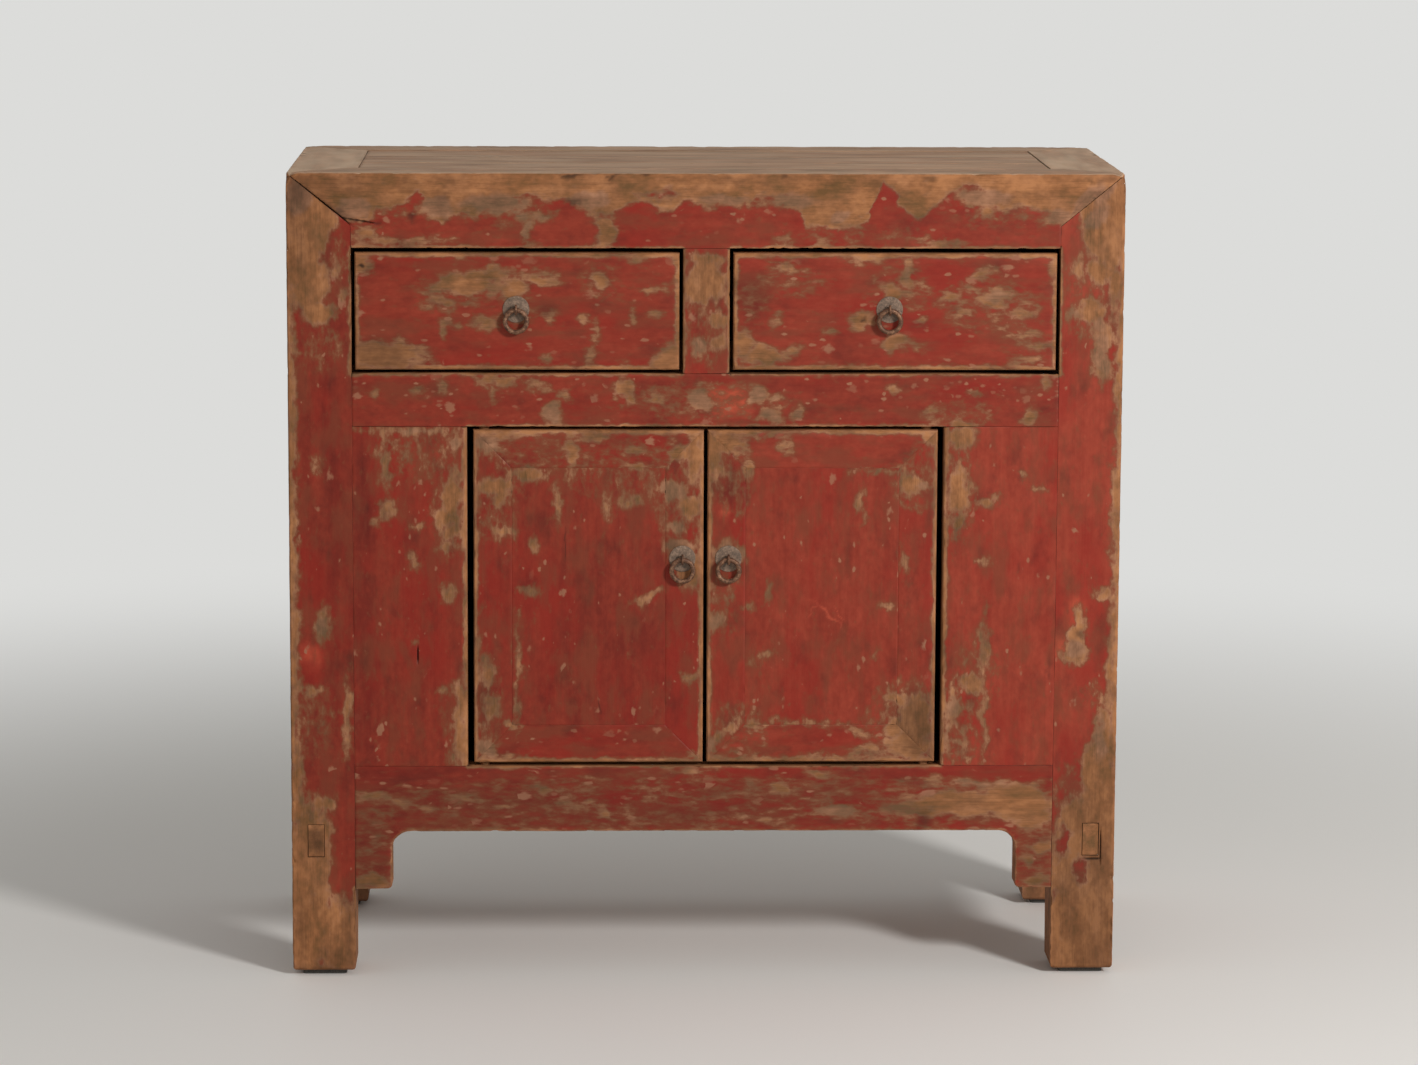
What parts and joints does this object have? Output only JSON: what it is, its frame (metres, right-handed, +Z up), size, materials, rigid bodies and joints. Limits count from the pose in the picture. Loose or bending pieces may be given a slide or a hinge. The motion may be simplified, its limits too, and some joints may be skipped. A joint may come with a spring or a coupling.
{
  "type": "chinese sideboard",
  "caption": "Low lacquered wooden cabinet with flush drawers over pivoting doors, iron ring pulls, a mitred top frame and an apron with curved spandrels.",
  "frame": {"origin": "centre of the bounding box at floor level, under the feet", "axes": "+X to the right as seen from the front, +Y to the back, +Z up; the front faces -Y"},
  "size_m": [1, 0.4504, 0.978],
  "materials": {
    "red_lacquer": "worn red lacquer over wood",
    "worn_wood": "bare worn wood, once lacquered",
    "bare_wood": "unfinished wood",
    "iron": "forged iron with brown patina",
    "felt": "pressed felt"
  },
  "bodies": {
    "carcass": {"front_left_leg": "red_lacquer", "front_right_leg": "red_lacquer", "back_left_leg": "red_lacquer", "back_right_leg": "red_lacquer", "top_front_rail": "red_lacquer", "top_back_rail": "red_lacquer", "top_left_rail": "red_lacquer", "top_right_rail": "red_lacquer", "drawer_divider_stile": "red_lacquer", "middle_rail": "red_lacquer", "front_apron": "red_lacquer", "left_fixed_panel": "red_lacquer", "right_fixed_panel": "red_lacquer", "left_bottom_rail": "red_lacquer", "right_bottom_rail": "red_lacquer", "left_side_panel": "red_lacquer", "right_side_panel": "red_lacquer", "top_panel": "worn_wood", "top_battens": "bare_wood", "back_middle_rail": "bare_wood", "back_bottom_rail": "bare_wood", "back_boards": "bare_wood", "floor_boards": "bare_wood", "left_drawer_runner": "bare_wood", "centre_drawer_runner": "bare_wood", "right_drawer_runner": "bare_wood", "felt_foot_pads": "felt"},
    "left_drawer": {"left_drawer_front": "red_lacquer", "left_drawer_outer_side": "bare_wood", "left_drawer_inner_side": "bare_wood", "left_drawer_back": "bare_wood", "left_drawer_bottom": "bare_wood", "left_drawer_plate": "iron", "left_drawer_staple": "iron"},
    "left_door": {"left_door_pivot_stile": "red_lacquer", "left_door_inner_stile": "red_lacquer", "left_door_top_rail": "red_lacquer", "left_door_bottom_rail": "red_lacquer", "left_door_panel": "red_lacquer", "left_door_plate": "iron", "left_door_staple": "iron"},
    "left_drawer_ring": {"left_drawer_ring": "iron"},
    "left_door_ring": {"left_door_ring": "iron"},
    "right_drawer": {"right_drawer_front": "red_lacquer", "right_drawer_outer_side": "bare_wood", "right_drawer_inner_side": "bare_wood", "right_drawer_back": "bare_wood", "right_drawer_bottom": "bare_wood", "right_drawer_plate": "iron", "right_drawer_staple": "iron"},
    "right_door": {"right_door_pivot_stile": "red_lacquer", "right_door_inner_stile": "red_lacquer", "right_door_top_rail": "red_lacquer", "right_door_bottom_rail": "red_lacquer", "right_door_panel": "red_lacquer", "right_door_plate": "iron", "right_door_staple": "iron"},
    "right_drawer_ring": {"right_drawer_ring": "iron"},
    "right_door_ring": {"right_door_ring": "iron"}
  },
  "joints": [
    {"name": "left_drawer_slide", "type": "slide", "parent": "carcass", "child": "left_drawer", "axis": [0, -1, 0], "range_m": [0, 0.27]},
    {"name": "left_door_pivot", "type": "hinge", "parent": "carcass", "child": "left_door", "pos_m": [-0.2655, -0.1978, 0.46725], "axis": [0, 0, -1], "range_deg": [0, 105]},
    {"name": "right_drawer_slide", "type": "slide", "parent": "carcass", "child": "right_drawer", "axis": [0, -1, 0], "range_m": [0, 0.27]},
    {"name": "right_door_pivot", "type": "hinge", "parent": "carcass", "child": "right_door", "pos_m": [0.2655, -0.1978, 0.46725], "axis": [0, 0, 1], "range_deg": [0, 105]},
    {"name": "left_drawer_ring_swing", "type": "hinge", "parent": "left_drawer", "child": "left_drawer_ring", "pos_m": [-0.227, -0.2186, 0.8145], "axis": [-1, 0, 0], "range_deg": [0, 165]},
    {"name": "right_drawer_ring_swing", "type": "hinge", "parent": "right_drawer", "child": "right_drawer_ring", "pos_m": [0.219, -0.2186, 0.8145], "axis": [-1, 0, 0], "range_deg": [0, 165]},
    {"name": "left_door_ring_swing", "type": "hinge", "parent": "left_door", "child": "left_door_ring", "pos_m": [-0.02775, -0.2186, 0.5135], "axis": [-1, 0, 0], "range_deg": [0, 165]},
    {"name": "right_door_ring_swing", "type": "hinge", "parent": "right_door", "child": "right_door_ring", "pos_m": [0.02775, -0.2186, 0.5135], "axis": [-1, 0, 0], "range_deg": [0, 165]}
  ]
}
